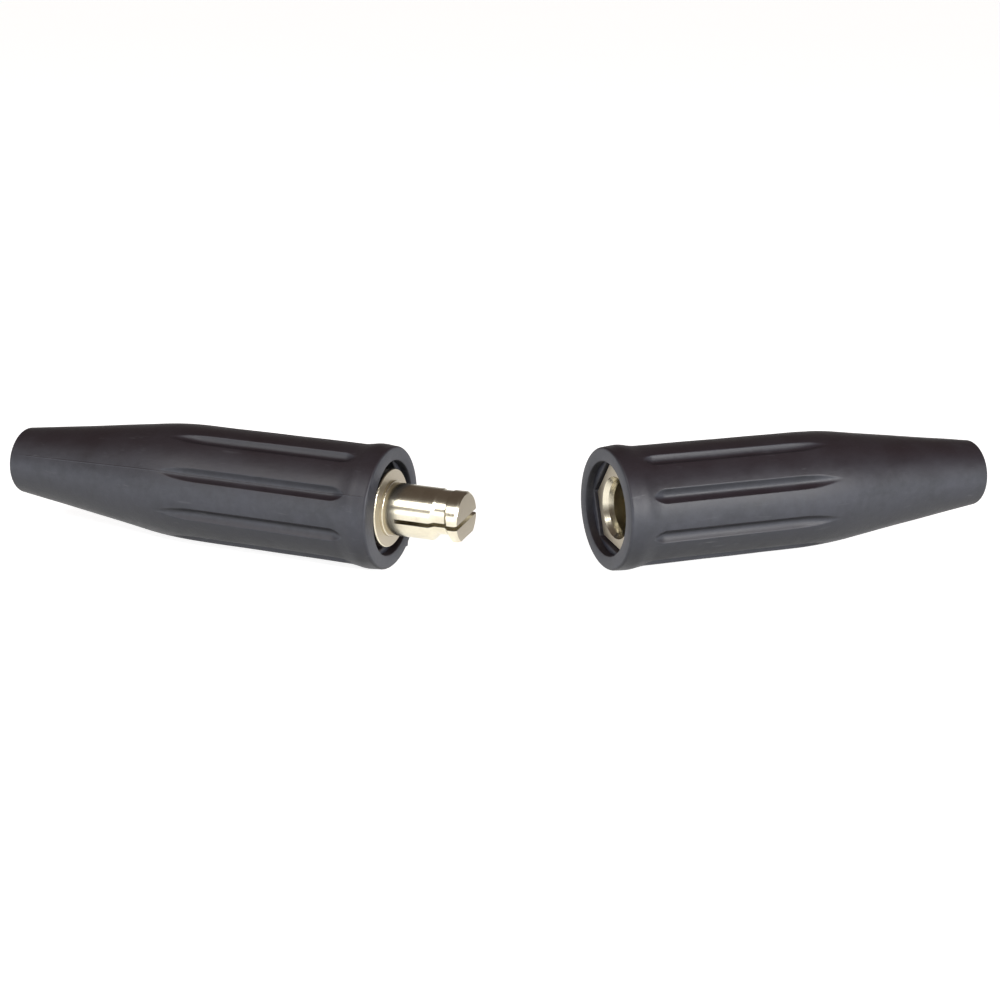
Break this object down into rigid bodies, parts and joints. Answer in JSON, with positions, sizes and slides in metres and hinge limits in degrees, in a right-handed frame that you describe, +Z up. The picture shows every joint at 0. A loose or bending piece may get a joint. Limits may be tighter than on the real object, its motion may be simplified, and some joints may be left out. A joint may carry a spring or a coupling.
{
  "type": "in-line cable connector",
  "caption": "In-line power cable connector: a fluted rubber plug half with a slit cam-lock brass pin and a matching socket half, unmated side by side.",
  "frame": {"origin": "middle of the footprint, on the surface that both halves lie on", "axes": "+X from the plug half to the socket half, along the longest extent; +Z up, the shortest extent; -Y is the side that both mouths are turned to"},
  "size_m": [0.2666, 0.0668, 0.0326],
  "materials": {
    "rubber": "satin moulded black rubber",
    "brass": "machined, lightly dulled",
    "steel": "black-oxide and plain steel",
    "ball_steel": "polished hardened steel",
    "copper": "drawn copper tube"
  },
  "bodies": {
    "socket_contact": {"socket_contact": "brass", "socket_cam_pin": "steel", "socket_cable_sleeve": "copper", "socket_reducer": "copper"},
    "socket_cover": {"socket_cover": "rubber"},
    "socket_clamp_ball": {"socket_clamp_ball": "ball_steel"},
    "socket_set_screw": {"socket_set_screw": "steel"},
    "plug_reducer": {"plug_reducer": "copper"},
    "plug_cable_sleeve": {"plug_cable_sleeve": "copper"},
    "plug_contact": {"plug_contact": "brass"},
    "plug_cover": {"plug_cover": "rubber"},
    "plug_clamp_ball": {"plug_clamp_ball": "ball_steel"},
    "plug_set_screw": {"plug_set_screw": "steel"}
  },
  "joints": [
    {"name": "plug_align", "type": "hinge", "parent": "socket_contact", "child": "plug_reducer", "pos_m": [-0.00262, 0.01727, 0.0163], "axis": [0, 0, 1], "range_deg": [0, 44.6]},
    {"name": "plug_insert", "type": "slide", "parent": "plug_reducer", "child": "plug_cable_sleeve", "axis": [0.9252, -0.3795, 0], "range_m": [0, 0.024]},
    {"name": "plug_twist", "type": "hinge", "parent": "plug_cable_sleeve", "child": "plug_contact", "pos_m": [-0.02747, -0.0189, 0.0163], "axis": [0.9252, -0.3795, 0], "range_deg": [0, 55]},
    {"name": "socket_cover_slide", "type": "slide", "parent": "socket_contact", "child": "socket_cover", "axis": [0.9252, 0.3795, 0], "range_m": [0, 0.045]},
    {"name": "socket_clamp_advance", "type": "slide", "parent": "socket_contact", "child": "socket_clamp_ball", "axis": [-0.0462, 0.1128, -0.9925], "range_m": [0, 0.003]},
    {"name": "socket_screw_turn", "type": "hinge", "parent": "socket_clamp_ball", "child": "socket_set_screw", "pos_m": [0.06124, -0.00423, 0.02632], "axis": [-0.0462, 0.1128, -0.9925], "range_deg": [0, 720]},
    {"name": "plug_cover_slide", "type": "slide", "parent": "plug_contact", "child": "plug_cover", "axis": [-0.9252, 0.3795, 0], "range_m": [0, 0.045]},
    {"name": "plug_clamp_advance", "type": "slide", "parent": "plug_contact", "child": "plug_clamp_ball", "axis": [0.0462, 0.1128, -0.9925], "range_m": [0, 0.003]},
    {"name": "plug_screw_turn", "type": "hinge", "parent": "plug_clamp_ball", "child": "plug_set_screw", "pos_m": [-0.06124, -0.00638, 0.02632], "axis": [0.0462, 0.1128, -0.9925], "range_deg": [0, 720]}
  ],
  "couplings": [
    {"joint": "socket_screw_turn", "follows": "socket_clamp_advance", "rad_per_m": 4188.8},
    {"joint": "plug_screw_turn", "follows": "plug_clamp_advance", "rad_per_m": 4188.8}
  ]
}
